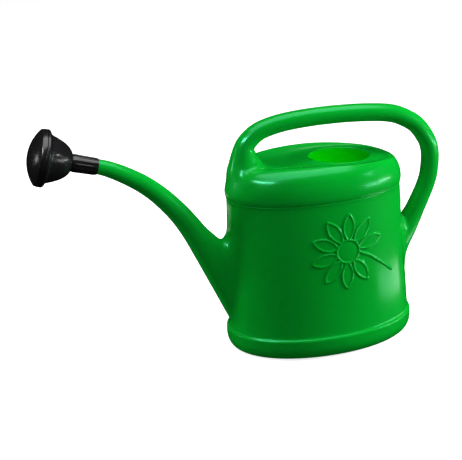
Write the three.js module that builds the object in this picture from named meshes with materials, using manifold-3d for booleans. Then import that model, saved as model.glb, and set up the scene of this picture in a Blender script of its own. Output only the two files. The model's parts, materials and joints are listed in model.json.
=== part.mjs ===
// A ten-litre garden watering can: one hollow green moulding, and a black rose that pushes
// onto the spout. Millimetres, +Z up. The spout points along -X and the handle comes down
// at +X. The origin is on the floor, under the middle of the whole can's box.

import * as THREE from 'three';
import { mergeVertices } from 'three/addons/utils/BufferGeometryUtils.js';
import Module from 'manifold-3d';

const wasm = await Module();
wasm.setup();

const wall = 2;
const gap = 0.3;
const boxMiddleX = -107.5;   // from the tank's centre to the middle of the rose-to-handle box

const tank = {
  sides: 44,
  ovalPower: 2.07,
  sideInset: 47.85,      // half-length less half-width, the same at every height
  contactHalf: 137.6,
  footHalf: 145,
  footEdge: 7.4,         // radius of the rounded bottom edge
  footBandTop: 31,
  wallBottom: 36,
  wallBottomHalf: 141.3,
  wallTop: 240,
  wallTopHalf: 132.4,
  recessHalf: 129,
  recessHeight: 4,
};

const dome = {
  springHeight: 248,     // widest level of the shoulder
  half: 134.8,
  lipHalf: 133,
  rise: 42.5,
  flatScale: 0.69,       // size of the level top, as a share of the shoulder's oval
  blend: 5,
};

const dish = {
  height: 279,
  heightAtX: 8,
  fall: 0.04,            // drop of the valley for each millimetre towards the rear
  curve: 0.00236,        // z rises by this times y squared
};

const mouth = {
  centreX: 42,
  halfLength: 48,
  halfWidth: 43.5,
  height: 283,
  fall: 0.045,
  lipReach: 0.45,        // width of the raised lip, as a share of the mouth's size
};

const roseAxis = new THREE.Vector3(-0.957, 0, 0.29).normalize();
const roseStart = new THREE.Vector3(-317.5, 0, 314.5);

const rose = {
  sides: 40,
  tipLength: 30,
  tipRadius: 10.7,
  tipEndRadius: 10.4,
  sleeveRadius: 12.4,
  sleeveBore: 11,
  sleeveLength: 37.7,
  bellStart: 38,
  neckRadius: 12.6,
  neckBore: 10.4,
  bellRadius: 35.5,
  bellEnd: 75.6,
  rimRadius: 41.4,
  flangeEnd: 78,
  spigotRadius: 38.6,
  spigotEnd: 83,
  skirtFrontRadius: 40.3,
  skirtEnd: 85,
  faceRadius: 38,
  faceStart: 87,
  faceSagitta: 13,
};

const green = new THREE.MeshStandardMaterial({ color: 0x0b8a2a, roughness: 0.38, metalness: 0 });
const black = new THREE.MeshStandardMaterial({ color: 0x0d0e10, roughness: 0.3, metalness: 0 });

// ---- surfaces made of closed rings ----

function signedPower(value, power) {
  return Math.sign(value) * Math.abs(value) ** power;
}

function ovalRing(halfLength, halfWidth, z, centreX = 0, power = tank.ovalPower) {
  return Array.from({ length: tank.sides }, (_, i) => {
    const angle = (2 * Math.PI * i) / tank.sides;
    const x = centreX + halfLength * signedPower(Math.cos(angle), 2 / power);
    const y = halfWidth * signedPower(Math.sin(angle), 2 / power);
    return new THREE.Vector3(x, y, z);
  });
}

function tankRing([halfLength, z], grow = 0) {
  return ovalRing(halfLength + grow, halfLength - tank.sideInset + grow, z);
}

// Stitches rings in order. With closed true the last ring joins the first, which makes a
// hollow piece with open ends; otherwise each end is filled with a fan.
function stitchRings(rings, closed) {
  const count = rings[0].length;
  const points = rings.flat().map((point) => point.clone());
  const triangles = [];
  const spans = closed ? rings.length : rings.length - 1;
  for (let r = 0; r < spans; r += 1) {
    const low = r * count;
    const high = ((r + 1) % rings.length) * count;
    for (let i = 0; i < count; i += 1) {
      const next = (i + 1) % count;
      triangles.push(low + i, low + next, high + next);
      triangles.push(low + i, high + next, high + i);
    }
  }
  if (!closed) {
    fillEnd(points, triangles, 0, count, true);
    fillEnd(points, triangles, (rings.length - 1) * count, count, false);
  }
  return outwardGeometry(points, triangles);
}

function fillEnd(points, triangles, first, count, reversed) {
  const centre = new THREE.Vector3();
  for (let i = 0; i < count; i += 1) {
    centre.addScaledVector(points[first + i], 1 / count);
  }
  const hub = points.push(centre) - 1;
  for (let i = 0; i < count; i += 1) {
    const a = first + i;
    const b = first + ((i + 1) % count);
    triangles.push(...(reversed ? [hub, b, a] : [hub, a, b]));
  }
}

function outwardGeometry(points, triangles) {
  let volume = 0;
  for (let t = 0; t < triangles.length; t += 3) {
    const [a, b, c] = [0, 1, 2].map((corner) => points[triangles[t + corner]]);
    volume += a.dot(new THREE.Vector3().crossVectors(b, c));
  }
  const geometry = new THREE.BufferGeometry().setFromPoints(points);
  geometry.setIndex(volume < 0 ? triangles.reverse() : triangles);
  return geometry;
}

// The same rings moved inwards along the surface's normal.
function insetRings(rings, distance) {
  const count = rings[0].length;
  const last = rings.length - 1;
  return rings.map((ring, r) => {
    const before = rings[Math.max(r - 1, 0)];
    const after = rings[Math.min(r + 1, last)];
    return ring.map((point, i) => {
      const round = ring[(i + 1) % count].clone().sub(ring[(i + count - 1) % count]);
      const along = after[i].clone().sub(before[i]);
      const normal = round.cross(along).normalize();
      return point.clone().addScaledVector(normal, -distance);
    });
  });
}

function shellOf(rings) {
  return stitchRings([...rings, ...insetRings(rings, wall).reverse()], true);
}

// ---- joins and cuts ----

function toSolid(geometry) {
  const bare = geometry.clone();
  bare.deleteAttribute('normal');
  bare.deleteAttribute('uv');
  const merged = mergeVertices(bare, 1e-4);
  const mesh = new wasm.Mesh({
    numProp: 3,
    vertProperties: new Float32Array(merged.attributes.position.array),
    triVerts: new Uint32Array(merged.index.array),
  });
  return new wasm.Manifold(mesh);
}

function toGeometry(solid) {
  const mesh = solid.getMesh();
  const geometry = new THREE.BufferGeometry();
  geometry.setAttribute('position', new THREE.BufferAttribute(mesh.vertProperties, mesh.numProp));
  geometry.setIndex(new THREE.BufferAttribute(mesh.triVerts, 1));
  return geometry;
}

// ---- the tank ----

const footEdgeRings = [-90, -45, 0].map((degrees) => {
  const angle = THREE.MathUtils.degToRad(degrees);
  const half = tank.contactHalf + tank.footEdge * Math.cos(angle);
  return [half, tank.footEdge * (1 + Math.sin(angle))];
});

function wallHalf(z) {
  const share = (z - tank.wallBottom) / (tank.wallTop - tank.wallBottom);
  return THREE.MathUtils.lerp(tank.wallBottomHalf, tank.wallTopHalf, share);
}

const wallProfile = [
  [tank.footHalf, tank.footEdge],
  [tank.footHalf, tank.footBandTop],
  [tank.footHalf - 0.9, tank.footBandTop + 3],
  ...[tank.wallBottom, 100, 170, tank.wallTop - gap].map((z) => [wallHalf(z), z]),
];

function domeHeight(x, y) {
  const halfWidth = dome.half - tank.sideInset;
  const sum = Math.abs(x / dome.half) ** tank.ovalPower + Math.abs(y / halfWidth) ** tank.ovalPower;
  const scale = sum ** (1 / tank.ovalPower);
  const cosine = (scale - dome.flatScale) / (1 - dome.flatScale);
  return dome.springHeight + dome.rise * Math.sqrt(1 - THREE.MathUtils.clamp(cosine, 0, 1) ** 2);
}

function dishHeight(x, y) {
  const valley = dish.height - dish.fall * (x - dish.heightAtX) + dish.curve * y * y;
  const lip = mouth.height - mouth.fall * (x - mouth.centreX);
  const fromMouth = Math.hypot((x - mouth.centreX) / mouth.halfLength, y / mouth.halfWidth);
  const nearness = 1 - THREE.MathUtils.smoothstep(fromMouth, 1, 1 + mouth.lipReach);
  return THREE.MathUtils.lerp(valley, lip, nearness);
}

// The lower of the two heights, rounded where they cross: the crest round the dish.
function topHeight(x, y) {
  const high = domeHeight(x, y);
  const low = dishHeight(x, y);
  const mix = THREE.MathUtils.clamp(0.5 + (low - high) / (2 * dome.blend), 0, 1);
  return THREE.MathUtils.lerp(low, high, mix) - dome.blend * mix * (1 - mix);
}

function settleOnTop(ring) {
  ring.forEach((point) => {
    point.z = topHeight(point.x, point.y);
  });
  return ring;
}

function domeRing(degrees) {
  const cosine = Math.cos(THREE.MathUtils.degToRad(degrees));
  const scale = dome.flatScale + (1 - dome.flatScale) * cosine;
  return settleOnTop(ovalRing(dome.half * scale, (dome.half - tank.sideInset) * scale, 0));
}

function topRings() {
  const shoulder = [
    tankRing([dome.lipHalf, tank.wallTop]),
    tankRing([dome.half, dome.springHeight - dome.blend]),
  ];
  const round = [12, 30, 46, 60].map(domeRing);
  const outer = round.at(-1);
  const edge = ovalRing(mouth.halfLength, mouth.halfWidth, 0, mouth.centreX, 2);
  const inward = [0.3, 0.55, 0.8, 1].map((share) => {
    const ring = outer.map((point, i) => point.clone().lerp(edge[i], share));
    return settleOnTop(ring);
  });
  return [...shoulder, ...round, ...inward];
}

// The outside of the whole tank as one closed body, grown by a clearance, for trimming what
// meets it.
function tankEnvelope(grow) {
  const levels = [...footEdgeRings, ...wallProfile.slice(1)];
  const rings = levels.map((level) => tankRing(level, grow));
  topRings().forEach((ring) => rings.push(ring));
  return toSolid(stitchRings(insetRings(rings, -grow), false));
}

function baseRings() {
  const inner = tank.recessHalf - wall;
  const floorTop = tank.recessHeight + wall;
  const profile = [
    [inner - wall, tank.recessHeight],
    [tank.recessHalf, 0],
    ...footEdgeRings.slice(0, 2),
    [tank.footHalf, tank.footEdge - gap],
    [tank.footHalf - wall, tank.footEdge - gap],
    [tank.contactHalf, wall],
    [tank.recessHalf + wall, wall],
    [inner, floorTop],
  ];
  return profile.map((level) => tankRing(level));
}

// ---- spout and handle: rings strung along a path in the middle plane ----

// An upright-plane ring between two points of the middle plane, halfWidth across.
function bridgeRing(low, high, halfWidth, sides) {
  const centre = low.clone().add(high).multiplyScalar(0.5);
  const reach = high.clone().sub(low).multiplyScalar(0.5);
  return Array.from({ length: sides }, (_, i) => {
    const angle = (2 * Math.PI * i) / sides;
    const point = centre.clone().addScaledVector(reach, Math.cos(angle));
    point.y = -halfWidth * Math.sin(angle);
    return point;
  });
}

function planePoint(x, z) {
  return new THREE.Vector3(x, 0, z);
}

// Round rings along a smooth path: each stop is x, z and radius.
function pathRings(stops, steps, sides) {
  const path = new THREE.CatmullRomCurve3(stops.map(([x, z]) => planePoint(x, z)), false, 'centripetal');
  const radii = new THREE.CatmullRomCurve3(stops.map(([, , r], i) => new THREE.Vector3(i, r, 0)));
  return Array.from({ length: steps + 1 }, (_, k) => {
    const t = k / steps;
    const centre = path.getPoint(t);
    const along = path.getTangent(t);
    const across = new THREE.Vector3(-along.z, 0, along.x).multiplyScalar(radii.getPoint(t).y);
    return bridgeRing(centre.clone().sub(across), centre.clone().add(across), across.length(), sides);
  });
}

const spoutSides = 20;
const spoutSteps = 13;

const tipEnd = roseStart.clone().addScaledVector(roseAxis, rose.tipLength);

const spoutStops = [
  [tipEnd.x, tipEnd.z, rose.tipEndRadius],
  [roseStart.x, roseStart.z, rose.tipRadius],
  [-296.2, 305.8, 11.6],
  [-259.9, 283.4, 13.15],
  [-225, 251.3, 14.6],
  [-198, 216, 16.2],
  [-182.8, 190.6, 18],
];

// Below the tube the spout opens into a tall root: underside, upper side and half-width of
// each section, the last two inside the tank.
const rootSections = [
  [-190, 163, -150, 184, 19.5],
  [-174, 126, -141, 175, 21],
  [-156, 84, -132, 168, 21.5],
  [-142, 52, -124, 160, 21],
  [-130, 40, -112, 152, 20],
];

function spoutRings() {
  const tube = pathRings(spoutStops, spoutSteps, spoutSides);
  const root = rootSections.map(([lowX, lowZ, highX, highZ, halfWidth]) => {
    return bridgeRing(planePoint(lowX, lowZ), planePoint(highX, highZ), halfWidth, spoutSides);
  });
  return [...tube, ...root];
}

const handleSides = 14;
const handleSteps = 26;

const handleStops = [
  [-106, 262, 19],
  [-106, 284, 21],
  [-105, 300, 18.5],
  [-98.7, 320.5, 14.7],
  [-83.2, 333.5, 13.7],
  [-53, 342.5, 13.5],
  [-16.2, 346, 13.5],
  [21.9, 346.6, 13.5],
  [59.7, 345.2, 13.5],
  [97.9, 341.7, 13.5],
  [134.1, 334, 13.5],
  [167.2, 312.4, 13.5],
  [181.4, 290.1, 13.6],
  [187, 262.9, 13.8],
  [184.5, 237.1, 13.8],
  [175.4, 210.3, 13.8],
  [163.4, 186.2, 14.4],
  [153.5, 169, 16.2],
  [140, 147, 19],
  [124, 122, 20],
  [110, 101, 18],
];

function withBore(rings) {
  return {
    body: toSolid(stitchRings(rings, false)),
    bore: toSolid(stitchRings(insetRings(rings, wall), false)),
  };
}

// Pushes the two end rings outwards along the path, so that a bore cuts right through.
function extendEnds(rings, distance) {
  const lengthen = (ring, neighbour) => {
    const step = ring[0].clone().sub(neighbour[0]).setY(0).normalize().multiplyScalar(distance);
    return ring.map((point) => point.clone().add(step));
  };
  return [lengthen(rings[0], rings[1]), ...rings, lengthen(rings.at(-1), rings.at(-2))];
}

function hollowTube(rings) {
  const { bore } = withBore(extendEnds(rings, 2 * wall));
  const { body } = withBore(rings);
  return { tube: body.subtract(bore), bore };
}

// ---- the rose: turned profiles of radius and distance from the sleeve's end ----

function lathe(profile) {
  const points = profile.map(([radius, along]) => new THREE.Vector2(radius, along));
  return new THREE.LatheGeometry(points, rose.sides);
}

function sleeveProfile() {
  return [
    [rose.sleeveBore, 0],
    [rose.sleeveRadius, 0],
    [rose.sleeveRadius, rose.sleeveLength],
    [rose.sleeveBore, rose.sleeveLength],
    [rose.sleeveBore, 0],
  ];
}

// The bell swells quickly from the neck and then runs nearly straight to the flange.
function bellCurve(neck, mouthRadius, start, end) {
  const swell = 0.62;
  return [0, 0.14, 0.32, 0.54, 0.78, 1].map((share) => {
    return [neck + (mouthRadius - neck) * share ** swell, THREE.MathUtils.lerp(start, end, share)];
  });
}

function bellProfile() {
  const outside = bellCurve(rose.neckRadius, rose.bellRadius, rose.bellStart, rose.bellEnd);
  const inside = bellCurve(rose.neckBore, rose.bellRadius - wall, rose.bellStart, rose.bellEnd + wall);
  const profile = [
    ...outside,
    [rose.rimRadius, rose.bellEnd],
    [rose.rimRadius, rose.flangeEnd],
    [rose.spigotRadius, rose.flangeEnd],
    [rose.spigotRadius, rose.spigotEnd],
    [rose.spigotRadius - wall, rose.spigotEnd],
    [rose.spigotRadius - wall, rose.bellEnd + wall],
    ...inside.reverse(),
  ];
  return [...profile, profile[0]];
}

function faceArc(radius, start, sagitta) {
  const sphere = (radius ** 2 + sagitta ** 2) / (2 * sagitta);
  const sweep = Math.asin(radius / sphere);
  return [1, 0.8, 0.6, 0.4, 0.2, 0].map((share) => {
    const angle = sweep * share;
    return [sphere * Math.sin(angle), start + sagitta - sphere * (1 - Math.cos(angle))];
  });
}

function faceProfile() {
  const skirtBore = rose.spigotRadius + gap;
  return [
    ...faceArc(rose.faceRadius - wall / 2, rose.faceStart - wall, rose.faceSagitta).reverse(),
    [skirtBore, rose.spigotEnd + gap],
    [skirtBore, rose.flangeEnd + gap],
    [rose.rimRadius, rose.flangeEnd + gap],
    [rose.skirtFrontRadius, rose.skirtEnd],
    ...faceArc(rose.faceRadius, rose.faceStart, rose.faceSagitta),
  ];
}

// ---- assembly ----

function placedMesh(name, geometry, material) {
  const mesh = new THREE.Mesh(geometry, material.clone());
  mesh.name = name;
  return mesh;
}

function turnedMesh(name, profile) {
  const mesh = placedMesh(name, lathe(profile), black);
  mesh.position.copy(roseStart);
  mesh.quaternion.setFromUnitVectors(new THREE.Vector3(0, 1, 0), roseAxis);
  return mesh;
}

const envelope = tankEnvelope(gap);
const spout = hollowTube(spoutRings());
const handle = hollowTube(pathRings(handleStops, handleSteps, handleSides));
const tankTop = toSolid(shellOf(topRings()));
const tankWall = toSolid(shellOf(wallProfile.map((level) => tankRing(level))));

const can = new THREE.Group();
can.add(
  placedMesh('tank_base', stitchRings(baseRings(), false), green),
  placedMesh('tank_wall', toGeometry(tankWall.subtract(spout.bore).subtract(handle.bore)), green),
  placedMesh('tank_top', toGeometry(tankTop.subtract(handle.bore)), green),
  placedMesh('spout', toGeometry(spout.tube.subtract(envelope)), green),
  placedMesh('handle', toGeometry(handle.tube.subtract(envelope)), green),
  turnedMesh('rose_sleeve', sleeveProfile()),
  turnedMesh('rose_bell', bellProfile()),
  turnedMesh('rose_face', faceProfile()),
);

can.position.x = -boxMiddleX;

export default can;
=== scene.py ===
import json
import math

import bmesh
import bpy
from mathutils import Matrix, Vector


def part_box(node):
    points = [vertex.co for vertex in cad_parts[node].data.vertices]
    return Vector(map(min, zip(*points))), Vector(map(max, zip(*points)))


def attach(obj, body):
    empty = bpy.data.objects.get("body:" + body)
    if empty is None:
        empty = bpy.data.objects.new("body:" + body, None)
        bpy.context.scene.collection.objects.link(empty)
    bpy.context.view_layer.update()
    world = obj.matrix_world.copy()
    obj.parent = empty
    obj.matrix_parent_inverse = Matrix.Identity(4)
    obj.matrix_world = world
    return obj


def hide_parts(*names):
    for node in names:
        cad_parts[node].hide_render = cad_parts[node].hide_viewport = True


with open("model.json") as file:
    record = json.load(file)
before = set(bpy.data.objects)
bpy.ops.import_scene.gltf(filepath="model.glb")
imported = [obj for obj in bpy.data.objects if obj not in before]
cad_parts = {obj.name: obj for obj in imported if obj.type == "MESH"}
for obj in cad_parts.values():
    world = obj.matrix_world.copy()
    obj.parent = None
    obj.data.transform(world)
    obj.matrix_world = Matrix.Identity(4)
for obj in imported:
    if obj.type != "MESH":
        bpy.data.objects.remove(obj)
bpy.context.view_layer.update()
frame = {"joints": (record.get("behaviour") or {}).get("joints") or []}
print("frame loaded")


# small helpers used by every piece

def deselectAll():
    if bpy.context.mode != "OBJECT":
        bpy.ops.object.mode_set(mode="OBJECT")
    bpy.ops.object.select_all(action="DESELECT")


def makeActive(obj):
    deselectAll()
    obj.select_set(True)
    bpy.context.view_layer.objects.active = obj


def startEdit(obj, selectMode="VERT"):
    makeActive(obj)
    bpy.ops.object.mode_set(mode="EDIT")
    bpy.ops.mesh.select_mode(type=selectMode)
    bpy.ops.mesh.select_all(action="DESELECT")
    return bmesh.from_edit_mesh(obj.data)


def leaveEdit():
    bpy.ops.object.mode_set(mode="OBJECT")


def applyModifier(obj, kind, **settings):
    makeActive(obj)
    modifier = obj.modifiers.new(kind.title(), kind)
    for key, value in settings.items():
        setattr(modifier, key, value)
    bpy.ops.object.modifier_apply(modifier=modifier.name)


def copyOf(obj, name):
    makeActive(obj)
    bpy.ops.object.duplicate()
    copy = bpy.context.view_layer.objects.active
    copy.name = name
    return copy


def joinAll(objects):
    makeActive(objects[0])
    for obj in objects[1:]:
        obj.select_set(True)
    bpy.ops.object.join()
    return bpy.context.view_layer.objects.active


def selectFaces(obj, test):
    mesh = startEdit(obj, "FACE")
    for face in mesh.faces:
        face.select = test(face.calc_center_median())
    mesh.select_flush_mode()
    bmesh.update_edit_mesh(obj.data)


def mix(a, b, share):
    return a + (b - a) * share


def smoothStep(value, low, high):
    share = min(max((value - low) / (high - low), 0.0), 1.0)
    return share * share * (3 - 2 * share)


def newRing(name, sides):
    deselectAll()
    bpy.ops.mesh.primitive_circle_add(vertices=sides, radius=1, fill_type="NOTHING")
    obj = bpy.context.view_layer.objects.active
    obj.name = name
    mesh = startEdit(obj)
    column = mesh.verts.layers.int.new("column")
    mesh.verts.layers.int.new("row")
    for vert in mesh.verts:
        vert[column] = round(math.atan2(vert.co.y, vert.co.x) * sides / (2 * math.pi)) % sides
        vert.select = True
    mesh.select_flush_mode()
    bmesh.update_edit_mesh(obj.data)
    return obj


def placeSelected(obj, place, rowStep=0):
    mesh = bmesh.from_edit_mesh(obj.data)
    column = mesh.verts.layers.int["column"]
    row = mesh.verts.layers.int["row"]
    for vert in mesh.verts:
        if vert.select:
            vert[row] += rowStep
            vert.co = place(vert[column])
    bmesh.update_edit_mesh(obj.data)


def extrudeRing(obj, place):
    bpy.ops.mesh.extrude_region_move(TRANSFORM_OT_translate={"value": (0, 0, 0)})
    placeSelected(obj, place, 1)


# the can: tank, spout and handle are one hollow moulding

wallLow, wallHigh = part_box("tank_wall")
roofLow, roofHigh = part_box("tank_top")
bodyX = (wallLow.x + wallHigh.x) / 2       # middle of the oval tank

can = {
    "columns": 40,
    "ovalPower": 2.07,
    "sideInset": (wallHigh.x - wallLow.x) / 2 - wallHigh.y,   # half-length less half-width
    "wallBottom": 0.038,
    "wallBottomHalf": 0.1412,
    "wallTop": roofLow.z,
    "wallTopHalf": 0.1324,
    "shoulderHalf": roofHigh.x - bodyX,
    "springHeight": 0.248,
    "domeRise": 0.0425,
    "domeFlat": 0.69,
    "crestBlend": 0.0035,
    "dishHeight": 0.280,
    "dishFromX": 0.008,
    "dishFall": 0.04,
    "dishCurve": 2.36,
    "mouthX": 0.042,
    "mouthHalf": (0.048, 0.0435),
    "mouthHeight": 0.283,
    "mouthFall": 0.045,
    "lipReach": 0.80,
    "lip": [(0.0, 0.0006), (0.0011, 0.0003), (0.0016, -0.0010)],   # inset and rise of its rows
    "rimSplit": 0.1,                      # the spout's end lies further back than this, the mouth nearer
    "thickness": 0.002,
}

# half-length and height of each level, from the recess under the tank up to the step under the dome
baseLevels = [
    (0.060, 0.0042), (0.1175, 0.0040), (0.1224, 0.0034), (0.1232, 0.0004), (0.1244, 0.0), (0.1268, 0.0),
    (0.1300, 0.0004), (0.1340, 0.0018), (0.1378, 0.0043), (0.1409, 0.0078), (0.1431, 0.0120),
    (0.1444, 0.0168), (0.1449, 0.0215), (0.1449, 0.0265), (0.1449, 0.0315), (0.1447, 0.0332),
    (0.1437, 0.0347), (0.1420, 0.0360), (0.1414, 0.0379), (0.1411, 0.0410),
]
wallLevels = [0.052, 0.074, 0.096, 0.114, 0.133, 0.152, 0.171, 0.190, 0.208, 0.224, 0.2355]
stepLevels = [
    (0.1332, 0.2375), (0.1335, 0.2386), (0.1329, 0.2394), (0.1329, 0.2400), (0.1336, 0.2408),
    (0.1342, 0.2424), (0.1347, 0.2454),
]
domeDegrees = [4, 15, 27, 40, 53, 66, 80]
mouthShares = [0.3, 0.52, 0.72, 0.87, 0.96]


def ringGrowth(sides):                     # how much a smoothed ring of this many points shrinks
    return 3 / (2 + math.cos(2 * math.pi / sides))


def ovalPoint(angle, halfX, halfY):
    power = can["ovalPower"]
    across, along = math.sin(angle), math.cos(angle)
    reach = (abs(along) ** power + abs(across) ** power) ** (-1 / power)
    return halfX * reach * along, halfY * reach * across


def ovalShare(x, y, half):                 # 1 on the oval of this half-length, 0 in its middle
    power = can["ovalPower"]
    return (abs(x / half) ** power + abs(y / (half - can["sideInset"])) ** power) ** (1 / power)


def wallHalf(z):
    share = (z - can["wallBottom"]) / (can["wallTop"] - can["wallBottom"])
    return mix(can["wallBottomHalf"], can["wallTopHalf"], share)


def columnAngle(column):
    return 2 * math.pi * column / can["columns"]


def tankPlace(half, z):
    grow = ringGrowth(can["columns"])

    def place(column):
        x, y = ovalPoint(columnAngle(column), half, half - can["sideInset"])
        return Vector((bodyX + grow * x, grow * y, z))
    return place


def mouthDistance(x, y):                   # 1 on the mouth's edge
    return math.hypot((x - can["mouthX"]) / can["mouthHalf"][0], y / can["mouthHalf"][1])


def domeHeight(x, y):
    share = (ovalShare(x, y, can["shoulderHalf"]) - can["domeFlat"]) / (1 - can["domeFlat"])
    return can["springHeight"] + can["domeRise"] * math.sqrt(1 - min(max(share, 0), 1) ** 2)


def dishHeight(x, y):
    valley = can["dishHeight"] - can["dishFall"] * (x - can["dishFromX"]) + can["dishCurve"] * y * y
    lip = can["mouthHeight"] - can["mouthFall"] * (x - can["mouthX"])
    nearness = 1 - smoothStep(mouthDistance(x, y), 1, 1 + can["lipReach"])
    return mix(valley, lip, nearness)


def roofHeight(x, y):                      # the lower of dome and dish, rounded where they cross
    high, low, blend = domeHeight(x, y), dishHeight(x, y), can["crestBlend"]
    share = min(max(0.5 + (low - high) / (2 * blend), 0), 1)
    return mix(low, high, share) - blend * share * (1 - share)


def domePoint(column, degrees):
    scale = can["domeFlat"] + (1 - can["domeFlat"]) * math.cos(math.radians(degrees))
    half = can["shoulderHalf"] * scale
    halfY = (can["shoulderHalf"] - can["sideInset"]) * scale
    return ovalPoint(columnAngle(column), half, halfY)


def domePlace(degrees):
    grow = ringGrowth(can["columns"])

    def place(column):
        x, y = domePoint(column, degrees)
        z = can["springHeight"] + can["domeRise"] * math.sin(math.radians(degrees))
        if degrees > 60:
            z = roofHeight(x, y)
        return Vector((bodyX + grow * x, grow * y, z))
    return place


def mouthPoint(column, inset=0.0):
    angle = columnAngle(column)
    x = can["mouthX"] + (can["mouthHalf"][0] - inset) * math.cos(angle)
    return x, (can["mouthHalf"][1] - inset) * math.sin(angle)


def dishPlace(share):
    def place(column):
        outer = Vector(domePoint(column, domeDegrees[-1]))
        x, y = outer.lerp(Vector(mouthPoint(column)), share)
        return Vector((bodyX + x, y, roofHeight(x, y)))
    return place


def lipPlace(inset, rise):
    def place(column):
        x, y = mouthPoint(column, inset)
        z = can["mouthHeight"] - can["mouthFall"] * (x - can["mouthX"])
        return Vector((bodyX + x, y, z + rise))
    return place


def buildTankCage():
    cage = newRing("canCage", can["columns"])
    places = [tankPlace(half, z) for half, z in baseLevels]
    places += [tankPlace(wallHalf(z), z) for z in wallLevels]
    places += [tankPlace(half, z) for half, z in stepLevels]
    places += [domePlace(degrees) for degrees in domeDegrees]
    places += [dishPlace(share) for share in mouthShares]
    places += [lipPlace(inset, rise) for inset, rise in can["lip"]]
    placeSelected(cage, places[0])
    for place in places[1:]:
        extrudeRing(cage, place)
    selectRows(cage, lambda column, row: row == 0)
    bpy.ops.mesh.edge_face_add()
    leaveEdit()
    return cage


def selectRows(obj, test):
    bpy.ops.mesh.select_all(action="DESELECT")
    mesh = bmesh.from_edit_mesh(obj.data)
    column = mesh.verts.layers.int["column"]
    row = mesh.verts.layers.int["row"]
    for vert in mesh.verts:
        vert.select = test(vert[column], vert[row])
    mesh.select_flush_mode()
    bmesh.update_edit_mesh(obj.data)


# Takes out the faces of the tank's end between two rows and so many columns each side of the
# middle, numbers the hole's points round
# from its top towards +Y, places them, and leaves them selected. Gives back their number.
def openHole(obj, atRear, reach, rows, place):
    count = 2 * (2 * reach + rows[1] - rows[0])
    middle = 0 if atRear else can["columns"] // 2
    columns = {(middle + step) % can["columns"] for step in range(-reach, reach + 1)}
    startEdit(obj)
    selectRows(obj, lambda column, row: column in columns and rows[0] <= row <= rows[1])
    bpy.ops.mesh.select_mode(type="FACE")
    bpy.ops.mesh.delete(type="FACE")
    bpy.ops.mesh.select_mode(type="VERT")
    mesh = bmesh.from_edit_mesh(obj.data)
    column = mesh.verts.layers.int["column"]
    row = mesh.verts.layers.int["row"]
    edge = [vert for vert in mesh.verts if vert.is_boundary and vert[column] in columns]
    edge = [vert for vert in edge if rows[0] <= vert[row] <= rows[1]]
    widest = max(vert.co.y for vert in edge)
    middleRow = (rows[0] + rows[1]) / 2

    def turn(vert):
        up = (vert[row] - middleRow) / (rows[1] - middleRow)
        side = vert.co.y / widest
        return (math.atan2(side, up) + 0.001) % (2 * math.pi)

    for number, vert in enumerate(sorted(edge, key=turn)):
        vert[column] = number
        vert[row] = 0
        vert.co = place(2 * math.pi * number / count)
        vert.select = True
    mesh.select_flush_mode()
    bmesh.update_edit_mesh(obj.data)
    return count


# A section of the spout or handle: where its top (or inner) and bottom (or outer) points
# are in the middle plane, and its half-width.
def sectionPlace(near, far, halfWidth, count, power=2.0):
    grow = ringGrowth(count)
    middle = (Vector(near) + Vector(far)) / 2
    reach = (Vector(near) - Vector(far)) / 2 * grow

    def place(column):
        up, side = roundedTurn(2 * math.pi * column / count, power)
        point = middle + reach * up
        return Vector((bodyX + point.x, halfWidth * grow * side, point.y))
    return place


# Round sections along a smooth path through stops of x, z and radius, about one every step.
def pathSections(stops, step, before, after):
    points = [Vector(stop) for stop in stops]
    ends = [2 * points[0] - points[1]] + points + [2 * points[-1] - points[-2]]
    path = []
    for first, a, b, last in zip(ends, ends[1:], ends[2:], ends[3:]):
        length = (b.xy - a.xy).length
        cuts = max(1, round(length / step))
        for cut in range(cuts):
            t = cut / cuts
            path.append(0.5 * (2 * a + (b - first) * t + (2 * first - 5 * a + 4 * b - last) * t * t
                               + (3 * a - first - 3 * b + last) * t ** 3))
    path.append(points[-1])
    line = [Vector((*before, 0))] + path + [Vector((*after, 0))]
    sections = []
    for a, b, c in zip(line, line[1:], line[2:]):
        along = (c.xy - a.xy).normalized()
        pull = (a.xy - 2 * b.xy + c.xy) / 6       # smoothing draws the middle line in by this much
        side = Vector((along.y, -along.x)) * b.z
        centre = b.xy - pull
        sections.append((centre + side, centre - side, b.z))
    return sections


def wallPointAt(y, z, towards):
    half = wallHalf(z)
    power = can["ovalPower"]
    share = min(abs(y) / (half - can["sideInset"]), 1)
    return Vector((bodyX + towards * half * (1 - share ** power) ** (1 / power), y, z))


def roundedTurn(angle, power=2.3):
    reach = (abs(math.cos(angle)) ** power + abs(math.sin(angle)) ** power) ** (-1 / power)
    return reach * math.cos(angle), reach * math.sin(angle)


spout = {
    "holeTop": 0.1860,
    "holeBottom": 0.0480,
    "holeHalfWidth": 0.0260,
    "holePower": 3.4,
    "holeColumns": 2,
    "holeHeights": (0.052, 0.190),   # levels of the wall between which faces are removed
    "root": [                      # top point, bottom point, half-width, squareness
        ((-0.1435, 0.1740), (-0.1450, 0.0580), 0.0222, 3.6),
        ((-0.1500, 0.1800), (-0.1560, 0.0840), 0.0212, 3.2),
        ((-0.1563, 0.1873), (-0.1700, 0.1160), 0.0205, 2.7),
        ((-0.1625, 0.1945), (-0.1838, 0.1480), 0.0194, 2.3),
    ],
    "tube": [                      # x, z and radius along the middle line
        (-0.1835, 0.1915, 0.0179), (-0.1910, 0.2047, 0.0170), (-0.2076, 0.2298, 0.0155),
        (-0.2250, 0.2513, 0.0146), (-0.2425, 0.2691, 0.0137), (-0.2599, 0.2834, 0.0131),
        (-0.2782, 0.2955, 0.0125), (-0.2962, 0.3058, 0.0118), (-0.3101, 0.3120, 0.0112),
        (-0.3175, 0.3145, 0.0109), (-0.3300, 0.3183, 0.0106), (-0.3462, 0.3232, 0.0104),
    ],
    "step": 0.020,
}

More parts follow.
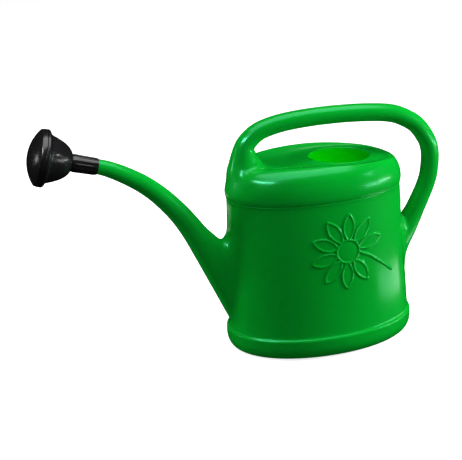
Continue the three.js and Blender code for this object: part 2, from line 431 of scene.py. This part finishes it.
handle = {
    "footMiddle": -0.1035,
    "footHalf": (0.0284, 0.0290),
    "foot": [                      # inner point, outer point, half-width
        ((-0.0788, 0.2925), (-0.1312, 0.2800), 0.0248),
        ((-0.0822, 0.2985), (-0.1284, 0.2872), 0.0214),
        ((-0.0857, 0.3040), (-0.1244, 0.2995), 0.0187),
        ((-0.0868, 0.3085), (-0.1193, 0.3135), 0.0165),
    ],
    "grip": [                      # x, z and radius along the middle line
        (-0.0987, 0.3205, 0.0145), (-0.0832, 0.3335, 0.0138), (-0.0530, 0.3425, 0.0136),
        (-0.0162, 0.3460, 0.0135), (0.0219, 0.3466, 0.0135), (0.0597, 0.3452, 0.0135),
        (0.0979, 0.3417, 0.0135), (0.1341, 0.3340, 0.0135), (0.1672, 0.3124, 0.0135),
        (0.1814, 0.2901, 0.0136), (0.1870, 0.2629, 0.0138), (0.1845, 0.2371, 0.0138),
        (0.1754, 0.2103, 0.0138), (0.1634, 0.1862, 0.0144),
    ],
    "rearRoot": [
        ((0.1460, 0.1850), (0.1715, 0.1690), 0.0150),
        ((0.1412, 0.1790), (0.1628, 0.1500), 0.0160),
        ((0.1392, 0.1745), (0.1520, 0.1300), 0.0175),
    ],
    "rearTop": 0.1860,
    "rearBottom": 0.1060,
    "rearHalfWidth": 0.0205,
    "rearHeights": (0.074, 0.190),
    "holeColumns": 3,
    "step": 0.018,
}


def spoutHolePlace(angle):
    up, side = roundedTurn(angle, spout["holePower"])
    z = mix(spout["holeBottom"], spout["holeTop"], (up + 1) / 2)
    return wallPointAt(spout["holeHalfWidth"] * side, z, -1)


def footHolePlace(angle):
    along, side = roundedTurn(angle)
    x = handle["footMiddle"] + handle["footHalf"][0] * along
    y = handle["footHalf"][1] * side
    return Vector((bodyX + x, y, roofHeight(x, y)))


def rearHolePlace(angle):
    up, side = roundedTurn(angle)
    z = mix(handle["rearBottom"], handle["rearTop"], (up + 1) / 2)
    return wallPointAt(handle["rearHalfWidth"] * side, z, 1)


def rowAt(z):
    return len(baseLevels) + wallLevels.index(z)


def pullSpout(cage):
    holeRows = [rowAt(z) for z in spout["holeHeights"]]
    count = openHole(cage, False, spout["holeColumns"], holeRows, spoutHolePlace)
    for near, far, halfWidth, power in spout["root"]:
        extrudeRing(cage, sectionPlace(near, far, halfWidth, count, power))
    near, far = spout["root"][-1][:2]
    before = (Vector(near) + Vector(far)) / 2
    after = 2 * Vector(spout["tube"][-1][:2]) - Vector(spout["tube"][-2][:2])
    for near, far, halfWidth in pathSections(spout["tube"], spout["step"], before, after):
        extrudeRing(cage, sectionPlace(near, far, halfWidth, count))
    leaveEdit()


def pullHandle(cage):
    firstDome = len(baseLevels) + len(wallLevels) + len(stepLevels)
    footRows = (firstDome + 1, firstDome + len(domeDegrees))
    rearRows = [rowAt(z) for z in handle["rearHeights"]]
    openHole(cage, True, handle["holeColumns"], rearRows, rearHolePlace)
    leaveEdit()
    count = openHole(cage, False, handle["holeColumns"], footRows, footHolePlace)
    sections = list(handle["foot"])
    before = (Vector(sections[-1][0]) + Vector(sections[-1][1])) / 2
    after = (Vector(handle["rearRoot"][0][0]) + Vector(handle["rearRoot"][0][1])) / 2
    sections += pathSections(handle["grip"], handle["step"], before, after)
    for near, far, halfWidth in sections + handle["rearRoot"]:
        extrudeRing(cage, sectionPlace(near, far, halfWidth, count))
    extrudeRing(cage, lambda column: rearHolePlace(2 * math.pi * column / count))
    bpy.ops.mesh.select_all(action="SELECT")
    bpy.ops.mesh.remove_doubles(threshold=0.00001)
    bpy.ops.mesh.normals_make_consistent(inside=False)
    leaveEdit()


# Two sheets from one cage: the outside, finely smoothed, and the inside, one wall thickness
# in and coarser, because only the mouth shows it.
def skinCan(cage):
    inside = copyOf(cage, "canInside")
    startEdit(inside)
    bpy.ops.mesh.select_all(action="SELECT")
    bpy.ops.transform.shrink_fatten(value=-can["thickness"], use_even_offset=True)
    bpy.ops.mesh.flip_normals()
    leaveEdit()
    applyModifier(inside, "SUBSURF", levels=1, render_levels=1)
    applyModifier(cage, "SUBSURF", levels=2, render_levels=2)
    return cage, inside


# bands over which the sheet's return to its formulas fades in or out
settle = {
    "wallSpan": (0.040, 0.236),
    "wallStart": (0.040, 0.048),
    "wallEnd": (0.228, 0.235),
    "wallReach": 1.03,                   # what is further out than this belongs to spout or handle
    "leavingWall": (1.006, 1.028),
    "spoutSide": (0.034, 0.046),
    "spoutTop": (0.200, 0.215),
    "handleSide": (0.028, 0.040),
    "handleTop": (0.198, 0.212),
    "handleBottom": (0.080, 0.094),
    "roofStart": 0.255,
    "roofAbove": 0.004,
    "roofEdge": (0.90, 0.96),
    "roofDepth": 0.006,
    "aroundFoot": (1.15, 1.6),
    "aroundMouth": (1.03, 1.08),
}


def outerWeight(x, y, z):                # how far a point of the wall lies from spout and handle
    if x < 0:
        return max(smoothStep(abs(y), *settle["spoutSide"]), smoothStep(z, *settle["spoutTop"]))
    offSide = smoothStep(abs(y), *settle["handleSide"])
    below = 1 - smoothStep(z, *settle["handleBottom"])
    return max(offSide, smoothStep(z, *settle["handleTop"]), below)


# Puts the smoothed wall and roof back exactly on their formulas.
def settleOutside(skin):
    lowest, highest = settle["wallSpan"]
    for vert in skin.data.vertices:
        x, y, z = vert.co.x - bodyX, vert.co.y, vert.co.z
        ofRoof = ovalShare(x, y, can["shoulderHalf"])
        if lowest < z < highest and ovalShare(x, y, wallHalf(z)) < settle["wallReach"]:
            share = ovalShare(x, y, wallHalf(z))
            inBand = smoothStep(z, *settle["wallStart"]) * (1 - smoothStep(z, *settle["wallEnd"]))
            weight = inBand * outerWeight(x, y, z) * (1 - smoothStep(share, *settle["leavingWall"]))
            scale = mix(1, 1 / share, weight)
            vert.co.x, vert.co.y = bodyX + x * scale, y * scale
        elif settle["roofStart"] < z < roofHigh.z + settle["roofAbove"] and ofRoof < settle["roofEdge"][1]:
            fromFoot = math.hypot((x - handle["footMiddle"]) / handle["footHalf"][0],
                                  y / handle["footHalf"][1])
            weight = smoothStep(fromFoot, *settle["aroundFoot"])
            weight *= smoothStep(mouthDistance(x, y), *settle["aroundMouth"])
            weight *= 1 - smoothStep(ofRoof, *settle["roofEdge"])
            if abs(z - roofHeight(x, y)) < settle["roofDepth"]:
                vert.co.z = mix(z, roofHeight(x, y), weight)


# a plain raised daisy with a stem, on the side that faces -Y
flower = {
    "centre": (0.0212, 0.1637),          # along the wall from the tank's middle, and up
    "places": 10,
    "stemPlace": 9,                      # the place that has no petal
    "firstPetal": 13.8,
    "petalStart": 0.0165,
    "petalEnd": 0.0560,
    "petalHalfWidth": 0.0082,
    "discRadius": 0.0172,
    "ridge": 0.0017,
    "ridgeHalfWidth": 0.0019,
    "petalRise": 0.0005,
    "discRise": 0.0006,
    "stem": [(0.0165, -0.0030), (0.0360, -0.0135), (0.0540, -0.0280), (0.0750, -0.0470)],
    "cutDistances": (0.0070, 0.0034),    # faces nearer to a ridge than this are cut again
    "unroll": 1.004,                     # length along the curved wall, over length along X
    "sideY": -0.05,                      # the flower lies where Y is less than this
    "span": 0.09,
    "ridgeTop": 0.0002,
    "discEdge": 0.006,
    "petalEdge": 0.002,
}
farAway = 1.0


def petalDistance(u, v):                 # below nought inside a petal
    half = math.pi / flower["places"]
    turn = math.atan2(v, u) - math.radians(flower["firstPetal"])
    place = round(turn / (2 * half))
    angle = turn - place * 2 * half
    if place % flower["places"] == flower["stemPlace"]:
        return farAway
    radius = math.hypot(u, v)
    along, across = radius * math.cos(angle), abs(radius * math.sin(angle))
    length = (flower["petalEnd"] - flower["petalStart"]) / 2
    width = flower["petalHalfWidth"]
    along = abs(along - flower["petalStart"] - length)
    arc = (length * length + width * width) / (2 * width)
    shift = arc - width
    if (along - length) * shift > across * length:
        return math.hypot(across, along - length)
    return math.hypot(across + shift, along) - arc


def stemDistance(u, v):
    nearest = farAway
    point = Vector((u, v))
    for a, b in zip(flower["stem"], flower["stem"][1:]):
        a, b = Vector(a), Vector(b)
        share = min(max((point - a).dot(b - a) / (b - a).length_squared, 0), 1)
        nearest = min(nearest, (point - a.lerp(b, share)).length)
    return nearest


def flowerSpot(co):                      # along and up from the flower's middle, unrolled on the wall
    return (co.x - bodyX - flower["centre"][0]) * flower["unroll"], co.z - flower["centre"][1]


def ridgeDistance(u, v):
    fromDisc = math.hypot(u, v) - flower["discRadius"]
    distance = min(abs(fromDisc), stemDistance(u, v))
    return min(distance, abs(petalDistance(u, v))) if fromDisc > 0 else distance


def flowerRise(u, v):
    fromDisc = math.hypot(u, v) - flower["discRadius"]
    ridge = 1 - smoothStep(ridgeDistance(u, v), flower["ridgeTop"], flower["ridgeHalfWidth"])
    rise = flower["ridge"] * ridge
    if fromDisc < 0:
        return rise + flower["discRise"] * (1 - ridge) * smoothStep(-fromDisc, 0, flower["discEdge"])
    inPetal = smoothStep(-petalDistance(u, v), 0, flower["petalEdge"])
    return rise + flower["petalRise"] * (1 - ridge) * inPetal


def onFlowerSide(co):
    u, v = flowerSpot(co)
    return co.y < flower["sideY"] and max(abs(u), abs(v)) < flower["span"]


def raiseFlower(sheet):
    for distance in flower["cutDistances"]:
        def nearRidge(co):
            return onFlowerSide(co) and ridgeDistance(*flowerSpot(co)) < distance
        selectFaces(sheet, nearRidge)
        bpy.ops.mesh.subdivide(number_cuts=1, quadcorner="INNERVERT")
        leaveEdit()
        settleOutside(sheet)
    for vert in sheet.data.vertices:
        if onFlowerSide(vert.co):
            vert.co += vert.normal * flowerRise(*flowerSpot(vert.co))


# Joins the two sheets with a narrow rim at the mouth and at the spout's end.
def closeRims(outside, inside):
    skin = joinAll([outside, inside])
    for atMouth in (True, False):
        mesh = startEdit(skin, "EDGE")
        for edge in mesh.edges:
            middle = (edge.verts[0].co + edge.verts[1].co) / 2
            edge.select = edge.is_boundary and (middle.x > bodyX - can["rimSplit"]) == atMouth
        bmesh.update_edit_mesh(skin.data)
        bpy.ops.mesh.bridge_edge_loops()
        leaveEdit()
    return skin


cage = buildTankCage()
pullSpout(cage)
pullHandle(cage)
print("cage built", len(cage.data.vertices), "points")
outside, inside = skinCan(cage)
settleOutside(outside)
raiseFlower(outside)
moulding = closeRims(outside, inside)
moulding.name = "canMoulding"
makeActive(moulding)
bpy.ops.object.shade_smooth_by_angle(angle=math.radians(50))
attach(moulding, "can")
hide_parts("tank_base", "tank_wall", "tank_top", "spout", "handle")
print("can finished", sum(len(face.vertices) - 2 for face in moulding.data.polygons), "triangles")


# the rose: three black pieces, each turned about the joint's axis

turnJoint = next(joint for joint in frame["joints"] if joint["name"] == "rose_turn")
roseTurn = Vector((0, 0, 1)).rotation_difference(Vector(turnJoint["axis"])).to_matrix().to_4x4()
rosePlace = Matrix.Translation(Vector(turnJoint["pos_m"])) @ roseTurn

sleeve = {
    "ribs": 13,
    "columnsPerRib": 8,
    "bore": 0.01105,
    "radii": (0.0119, 0.0126),           # between the ribs, at the spout's end and at the bell
    "ribHeight": 0.0007,
    "length": 0.0377,
    "levels": [0.0, 0.0003, 0.0009, 0.0022, 0.0034, 0.0120, 0.0250, 0.0345, 0.0358, 0.0370, 0.0377],
    "ribSpan": (0.0020, 0.0034, 0.0345, 0.0360),
    "chamfer": 0.0004,
    "edgeRound": 0.00015,
    "crownPower": 0.6,                   # less than one makes the ribs broader on top
}

bell = {
    "sides": 48,
    "outside": [                         # radius, and distance from the sleeve's open end
        (0.0120, 0.0380), (0.0140, 0.0380), (0.0166, 0.0394), (0.0196, 0.0418), (0.0224, 0.0447),
        (0.0252, 0.0485), (0.0278, 0.0530), (0.0302, 0.0583), (0.0322, 0.0633), (0.0336, 0.0672),
        (0.0345, 0.0696), (0.0351, 0.0705), (0.0363, 0.0713), (0.0383, 0.0723), (0.0401, 0.0733),
        (0.0409, 0.0742), (0.0412, 0.0754), (0.0412, 0.0766), (0.0412, 0.0775), (0.0409, 0.0780),
        (0.0398, 0.0781), (0.0389, 0.0782),
        (0.0386, 0.0786), (0.0386, 0.0822), (0.0383, 0.0829), (0.0377, 0.0830),
    ],
    "inside": [
        (0.0370, 0.0829), (0.0367, 0.0822), (0.0366, 0.0790), (0.0352, 0.0774), (0.0338, 0.0740),
        (0.0322, 0.0697), (0.0302, 0.0642), (0.0276, 0.0580), (0.0246, 0.0522), (0.0216, 0.0478),
        (0.0184, 0.0444), (0.0152, 0.0422), (0.0120, 0.0408), (0.0106, 0.0400), (0.0104, 0.0388),
        (0.0108, 0.0381),
    ],
}

face = {
    "sides": 48,
    "outside": [
        (0.0391, 0.0787), (0.0408, 0.0783), (0.0411, 0.0786), (0.0412, 0.0794), (0.0411, 0.0812),
        (0.0406, 0.0838), (0.0401, 0.0851), (0.0398, 0.0858), (0.0384, 0.0867), (0.0376, 0.0874),
    ],
    "rim": (0.0380, 0.0872),             # where the domed front starts
    "sagitta": 0.0128,
    "domeShares": [0.94, 0.84, 0.71, 0.58, 0.45, 0.32, 0.19, 0.07],
    "wall": 0.0018,
    "backInset": 0.001,
    "bore": [(0.0370, 0.0854), (0.0382, 0.0846), (0.0389, 0.0836), (0.0389, 0.0800)],
    "holeRings": [(0.0035, 6), (0.0085, 12), (0.0135, 18), (0.0185, 24), (0.0235, 30), (0.0285, 36)],
    "holeRadius": 0.00075,
    "holeOffset": 0.37,                  # keeps the holes' edges off the mesh lines
    "holeSides": 8,
    "pinLength": 0.008,                  # of the pins that cut the holes
}

roseEdgeAngle = math.radians(32)         # sharper edges than this stay sharp


def turnedPiece(name, sides, profile, closed=True, radiusAt=None):
    piece = newRing(name, sides)

    def ringPlace(radius, along):
        grow = ringGrowth(sides)

        def place(column):
            angle = 2 * math.pi * column / sides
            r = radiusAt(radius, along, angle) if radiusAt else radius * grow
            return Vector((r * math.cos(angle), r * math.sin(angle), along))
        return place

    placeSelected(piece, ringPlace(*profile[0]))
    for radius, along in profile[1:]:
        extrudeRing(piece, ringPlace(radius, along))
    if closed:
        extrudeRing(piece, ringPlace(*profile[0]))
        bpy.ops.mesh.select_all(action="SELECT")
        bpy.ops.mesh.remove_doubles(threshold=0.000001)
    else:
        for end in (0, len(profile) - 1):
            selectRows(piece, lambda column, row: row == end)
            bpy.ops.mesh.edge_face_add()
            bpy.ops.mesh.poke()
    bpy.ops.mesh.select_all(action="SELECT")
    bpy.ops.mesh.normals_make_consistent(inside=False)
    leaveEdit()
    return piece


def finishRosePiece(piece, body, *nodes):
    piece.matrix_world = rosePlace
    makeActive(piece)
    bpy.ops.object.transform_apply(location=True, rotation=True, scale=True)
    bpy.ops.object.shade_smooth_by_angle(angle=roseEdgeAngle)
    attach(piece, body)
    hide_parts(*nodes)


def buildSleeve():
    low, rise, fall, high = sleeve["ribSpan"]

    def radiusAt(radius, along, angle):
        if radius == sleeve["bore"]:
            return radius
        crown = max(0, math.cos(angle * sleeve["ribs"])) ** sleeve["crownPower"]
        span = smoothStep(along, low, rise) * (1 - smoothStep(along, fall, high))
        return radius + sleeve["ribHeight"] * crown * span

    chamfer = sleeve["chamfer"]
    profile = []
    for along in sleeve["levels"]:
        inset = chamfer if along in (0.0, sleeve["length"]) else 0
        profile.append((mix(*sleeve["radii"], along / sleeve["length"]) - inset, along))
    profile += [(sleeve["bore"], along) for along in (sleeve["length"], sleeve["length"] / 2, 0.0)]

    sides = sleeve["ribs"] * sleeve["columnsPerRib"]
    piece = turnedPiece("roseSleeve", sides, profile, radiusAt=radiusAt)
    applyModifier(piece, "BEVEL", width=sleeve["edgeRound"], segments=2, limit_method="ANGLE",
                  angle_limit=math.radians(50))
    finishRosePiece(piece, "rose_sleeve", "rose_sleeve")
    return piece


def buildBell():
    piece = turnedPiece("roseBell", bell["sides"], bell["outside"] + bell["inside"])
    applyModifier(piece, "SUBSURF", levels=2, render_levels=2)
    finishRosePiece(piece, "rose_bell", "rose_bell")
    return piece


def domeArc(radius, start, sagitta, shares):
    ball = (radius ** 2 + sagitta ** 2) / (2 * sagitta)
    sweep = math.asin(radius / ball)
    return [(ball * math.sin(sweep * share), start + sagitta - ball * (1 - math.cos(sweep * share)))
            for share in shares]


def buildFace():
    rimRadius, rimAlong = face["rim"]
    front = domeArc(rimRadius, rimAlong, face["sagitta"], face["domeShares"])
    backRadius, backAlong = rimRadius - face["backInset"], rimAlong - face["wall"]
    back = domeArc(backRadius, backAlong, face["sagitta"], face["domeShares"])
    profile = back[::-1] + face["bore"] + face["outside"] + front
    piece = turnedPiece("roseFace", face["sides"], profile, closed=False)
    applyModifier(piece, "SUBSURF", levels=1, render_levels=1)
    punchHoles(piece)
    finishRosePiece(piece, "rose_face", "rose_face")
    return piece


def punchHoles(piece):
    rimRadius, rimAlong = face["rim"]
    ball = (rimRadius ** 2 + face["sagitta"] ** 2) / (2 * face["sagitta"])
    ballMiddle = rimAlong + face["sagitta"] - ball
    pins = []
    for radius, count in face["holeRings"]:
        for number in range(count):
            turn = 2 * math.pi * (number + face["holeOffset"]) / count
            lean = math.asin(radius / ball)
            aside = math.sin(lean)
            spot = Vector((aside * math.cos(turn), aside * math.sin(turn), math.cos(lean)))
            deselectAll()
            bpy.ops.mesh.primitive_cylinder_add(
                vertices=face["holeSides"], radius=face["holeRadius"], depth=face["pinLength"],
                location=spot * (ball - face["wall"] / 2) + Vector((0, 0, ballMiddle)),
                rotation=(0, lean, turn))
            pins.append(bpy.context.view_layer.objects.active)
    cutter = joinAll(pins)
    applyModifier(piece, "BOOLEAN", operation="DIFFERENCE", solver="EXACT", object=cutter)
    bpy.data.objects.remove(cutter)


roseSleeve = buildSleeve()
roseBell = buildBell()
roseFace = buildFace()
print("rose finished", [len(piece.data.polygons) for piece in (roseSleeve, roseBell, roseFace)], "faces")


# materials

def newMaterial(name):
    material = bpy.data.materials.new(name)
    material.use_nodes = True
    return material, material.node_tree.nodes, material.node_tree.links


def addNode(nodes, kind, **inputs):
    node = nodes.new(kind)
    for name, value in inputs.items():
        node.inputs[name.replace("_", " ")].default_value = value
    return node


def addRamp(nodes, low, high, lowValue, highValue):
    ramp = nodes.new("ShaderNodeMapRange")
    ramp.inputs["From Min"].default_value = low
    ramp.inputs["From Max"].default_value = high
    ramp.inputs["To Min"].default_value = lowValue
    ramp.inputs["To Max"].default_value = highValue
    return ramp


greenFinish = {
    "deep": (0.0006, 0.275, 0.016, 1),
    "fresh": (0.0012, 0.335, 0.022, 1),
    "cloudScale": 9.0,
    "roughness": (0.18, 0.27),
    "sheen": (0.15, 1.0, 0.6, 1),
    "grainScale": 1500.0,
    "waveScale": 38.0,
    "partingWidth": 0.0005,
    "glow": 0.35,                        # share of light that passes into the plastic
    "glowDepth": 0.0012,
    "glowSpread": (0.2, 1.0, 0.12),      # how far red, green and blue travel, of that depth
    "rubScale": 160.0,
    "refraction": 1.5,
    "waveBump": (0.35, 0.0005),          # strength and height
    "partingBump": (0.6, 0.00015),
    "grainBump": (0.12, 0.00006),
}
rubRange = (0.3, 0.75)                   # the noise between these values spans the roughness


def makeGreenPlastic():
    material, nodes, links = newMaterial("greenPlastic")
    shader = nodes["Principled BSDF"]
    place = nodes.new("ShaderNodeTexCoord")
    clouds = addNode(nodes, "ShaderNodeTexNoise", Scale=greenFinish["cloudScale"], Detail=4.0)
    links.new(place.outputs["Object"], clouds.inputs["Vector"])
    tint = nodes.new("ShaderNodeMix")
    tint.data_type = "RGBA"
    tint.inputs[6].default_value = greenFinish["deep"]
    tint.inputs[7].default_value = greenFinish["fresh"]
    links.new(clouds.outputs["Fac"], tint.inputs["Factor"])
    links.new(tint.outputs[2], shader.inputs["Base Color"])
    rub = addNode(nodes, "ShaderNodeTexNoise", Scale=greenFinish["rubScale"], Detail=6.0, Roughness=0.65)
    links.new(place.outputs["Object"], rub.inputs["Vector"])
    gloss = addRamp(nodes, *rubRange, *greenFinish["roughness"])
    links.new(rub.outputs["Fac"], gloss.inputs["Value"])
    links.new(gloss.outputs["Result"], shader.inputs["Roughness"])
    grain = addNode(nodes, "ShaderNodeTexNoise", Scale=greenFinish["grainScale"], Detail=2.0)
    wave = addNode(nodes, "ShaderNodeTexNoise", Scale=greenFinish["waveScale"], Detail=1.0)
    for texture in (grain, wave):
        links.new(place.outputs["Object"], texture.inputs["Vector"])
    split = nodes.new("ShaderNodeSeparateXYZ")
    links.new(place.outputs["Object"], split.inputs["Vector"])
    aside = nodes.new("ShaderNodeMath")
    aside.operation = "ABSOLUTE"
    links.new(split.outputs["Y"], aside.inputs[0])
    seam = addRamp(nodes, 0.0, greenFinish["partingWidth"], 1.0, 0.0)
    links.new(aside.outputs["Value"], seam.inputs["Value"])
    bumps = [(wave, "Fac", "waveBump"), (seam, "Result", "partingBump"), (grain, "Fac", "grainBump")]
    before = None
    for texture, output, entry in bumps:
        strength, distance = greenFinish[entry]
        bump = addNode(nodes, "ShaderNodeBump", Strength=strength, Distance=distance)
        links.new(texture.outputs[output], bump.inputs["Height"])
        if before:
            links.new(before.outputs["Normal"], bump.inputs["Normal"])
        before = bump
    links.new(before.outputs["Normal"], shader.inputs["Normal"])
    shader.inputs["IOR"].default_value = greenFinish["refraction"]
    shader.inputs["Specular Tint"].default_value = greenFinish["sheen"]
    shader.inputs["Subsurface Weight"].default_value = greenFinish["glow"]
    shader.inputs["Subsurface Radius"].default_value = greenFinish["glowSpread"]
    shader.inputs["Subsurface Scale"].default_value = greenFinish["glowDepth"]
    return material


blackFinish = {
    "dark": (0.0045, 0.0045, 0.005, 1),
    "grey": (0.0095, 0.0095, 0.0105, 1),
    "roughness": (0.20, 0.29),
    "cloudScale": 60.0,
    "rubScale": 420.0,
    "grainScale": 2200.0,
    "grainBump": (0.05, 0.00005),
    "refraction": 1.49,
}


def makeBlackPlastic():
    material, nodes, links = newMaterial("blackPlastic")
    shader = nodes["Principled BSDF"]
    place = nodes.new("ShaderNodeTexCoord")
    clouds = addNode(nodes, "ShaderNodeTexNoise", Scale=blackFinish["cloudScale"], Detail=5.0)
    rub = addNode(nodes, "ShaderNodeTexNoise", Scale=blackFinish["rubScale"], Detail=6.0, Roughness=0.7)
    grain = addNode(nodes, "ShaderNodeTexNoise", Scale=blackFinish["grainScale"], Detail=2.0)
    for texture in (clouds, rub, grain):
        links.new(place.outputs["Object"], texture.inputs["Vector"])
    tint = nodes.new("ShaderNodeMix")
    tint.data_type = "RGBA"
    tint.inputs[6].default_value = blackFinish["dark"]
    tint.inputs[7].default_value = blackFinish["grey"]
    links.new(clouds.outputs["Fac"], tint.inputs["Factor"])
    links.new(tint.outputs[2], shader.inputs["Base Color"])
    gloss = addRamp(nodes, *rubRange, *blackFinish["roughness"])
    links.new(rub.outputs["Fac"], gloss.inputs["Value"])
    links.new(gloss.outputs["Result"], shader.inputs["Roughness"])
    strength, distance = blackFinish["grainBump"]
    bump = addNode(nodes, "ShaderNodeBump", Strength=strength, Distance=distance)
    links.new(grain.outputs["Fac"], bump.inputs["Height"])
    links.new(bump.outputs["Normal"], shader.inputs["Normal"])
    shader.inputs["IOR"].default_value = blackFinish["refraction"]
    return material


def dress(piece, material):
    piece.data.materials.clear()
    piece.data.materials.append(material)


greenPlastic = makeGreenPlastic()
blackPlastic = makeBlackPlastic()
dress(moulding, greenPlastic)
for piece in (roseSleeve, roseBell, roseFace):
    dress(piece, blackPlastic)
print("materials made")


# camera, lights and floor

view = {
    "place": (-0.40396, -1.62705, 0.79687),
    "azimuth": -13.19,
    "elevation": 19.94,
    "roll": -3.84,
    "lens": 93.5,
    "sensor": 36.0,
}

studio = {
    "worldColour": (1.0, 1.0, 1.0, 1),
    "worldStrength": 0.13,
    "floorHalf": 15.0,
    "floorColour": (0.9, 0.9, 0.9, 1),
    "floorGlow": 0.8,
    "floorRoughness": 0.9,
    "aim": (0.08, 0.0, 0.2),
    # name, azimuth from the front, elevation, distance, width, height, watts, lights, shines
    "lights": [
        ("topLight", 5, 82, 1.8, 2.2, 1.6, 46.0, True, True),
        ("rightFill", 74, 18, 1.8, 0.6, 0.8, 40.0, True, False),
        ("leftFill", -112, 8, 1.8, 0.6, 0.6, 20.0, True, False),
        ("floorBounce", -20, -11.5, 0.9, 1.6, 0.02, 1.2, True, False),
        ("rightStrip", 66, -2, 1.8, 1.2, 0.07, 8.0, True, True),
        ("rightLow", 73, -27, 0.39, 0.2, 0.05, 0.10, False, True),
        ("rightSpot", 58, 21, 1.8, 0.05, 0.05, 1.2, False, True),
        ("leftLight", -104, 12, 1.8, 0.08, 0.2, 1.2, False, True),
        ("leftStrip", -62, 42, 1.8, 0.95, 0.09, 24.0, False, True),
        ("spoutRim", -152, -14, 0.75, 0.5, 0.03, 0.05, False, True),
        ("backLight", 155, 34, 1.8, 0.10, 0.08, 0.12, False, True),
    ],
    "insideLight": (0.105, -0.02, 0.232),
    "insideColour": (0.45, 1.0, 0.03),
    "insidePower": 0.24,
    "insideSize": 0.05,
}


def addCamera():
    camera = bpy.data.cameras.new("camera")
    camera.lens = view["lens"]
    camera.sensor_width = view["sensor"]
    obj = bpy.data.objects.new("camera", camera)
    turn = Matrix.Rotation(math.radians(view["azimuth"]), 4, "Z")
    tilt = Matrix.Rotation(math.radians(90 - view["elevation"]), 4, "X")
    roll = Matrix.Rotation(math.radians(view["roll"]), 4, "Z")
    obj.matrix_world = Matrix.Translation(view["place"]) @ turn @ tilt @ roll
    bpy.context.scene.collection.objects.link(obj)
    bpy.context.scene.camera = obj


def addLights():
    for name, azimuth, elevation, distance, width, height, power, lit, inGloss in studio["lights"]:
        light = bpy.data.lights.new(name, "AREA")
        light.shape = "RECTANGLE"
        light.size = width
        light.size_y = height
        light.energy = power
        obj = bpy.data.objects.new(name, light)
        side, lift = math.radians(azimuth), math.radians(elevation)
        away = Vector((math.sin(side) * math.cos(lift), -math.cos(side) * math.cos(lift), math.sin(lift)))
        place = Matrix.Translation(Vector(studio["aim"]) + away * distance)
        obj.matrix_world = place @ away.to_track_quat("Z", "Y").to_matrix().to_4x4()
        obj.visible_camera = False
        obj.visible_diffuse = lit
        obj.visible_glossy = inGloss
        bpy.context.scene.collection.objects.link(obj)
    # stands in for the light that comes through the far wall and fills the tank
    inside = bpy.data.lights.new("insideLight", "AREA")
    inside.color = studio["insideColour"]
    inside.energy = studio["insidePower"]
    inside.size = studio["insideSize"]
    obj = bpy.data.objects.new("insideLight", inside)
    obj.matrix_world = Matrix.Translation(studio["insideLight"]) @ Matrix.Rotation(math.pi / 2, 4, "X")
    obj.visible_camera = False
    obj.visible_glossy = False
    bpy.context.scene.collection.objects.link(obj)
    world = bpy.data.worlds.new("studioWorld")
    world.use_nodes = True
    nodes, links = world.node_tree.nodes, world.node_tree.links
    nodes["Background"].inputs["Color"].default_value = studio["worldColour"]
    nodes["Background"].inputs["Strength"].default_value = studio["worldStrength"]
    backdrop = addNode(nodes, "ShaderNodeBackground", Color=studio["worldColour"], Strength=1.0)
    path = nodes.new("ShaderNodeLightPath")
    both = nodes.new("ShaderNodeMixShader")       # a white backdrop, but little light from it
    links.new(path.outputs["Is Camera Ray"], both.inputs["Fac"])
    links.new(nodes["Background"].outputs["Background"], both.inputs[1])
    links.new(backdrop.outputs["Background"], both.inputs[2])
    links.new(both.outputs["Shader"], nodes["World Output"].inputs["Surface"])
    world.cycles_visibility.glossy = False
    bpy.context.scene.world = world
    bpy.context.scene.view_settings.view_transform = "Standard"


def addFloor():
    deselectAll()
    bpy.ops.mesh.primitive_plane_add(size=2 * studio["floorHalf"])
    floor = bpy.context.view_layer.objects.active
    floor.name = "floor"
    material, nodes, links = newMaterial("floorPaper")
    shader = nodes["Principled BSDF"]
    shader.inputs["Base Color"].default_value = studio["floorColour"]
    shader.inputs["Roughness"].default_value = studio["floorRoughness"]
    shader.inputs["Specular IOR Level"].default_value = 0.0
    shader.inputs["Emission Color"].default_value = studio["worldColour"]
    shader.inputs["Emission Strength"].default_value = studio["floorGlow"]
    dress(floor, material)
    floor.visible_glossy = False
    floor.visible_diffuse = False


addCamera()
addLights()
addFloor()
print("studio ready")
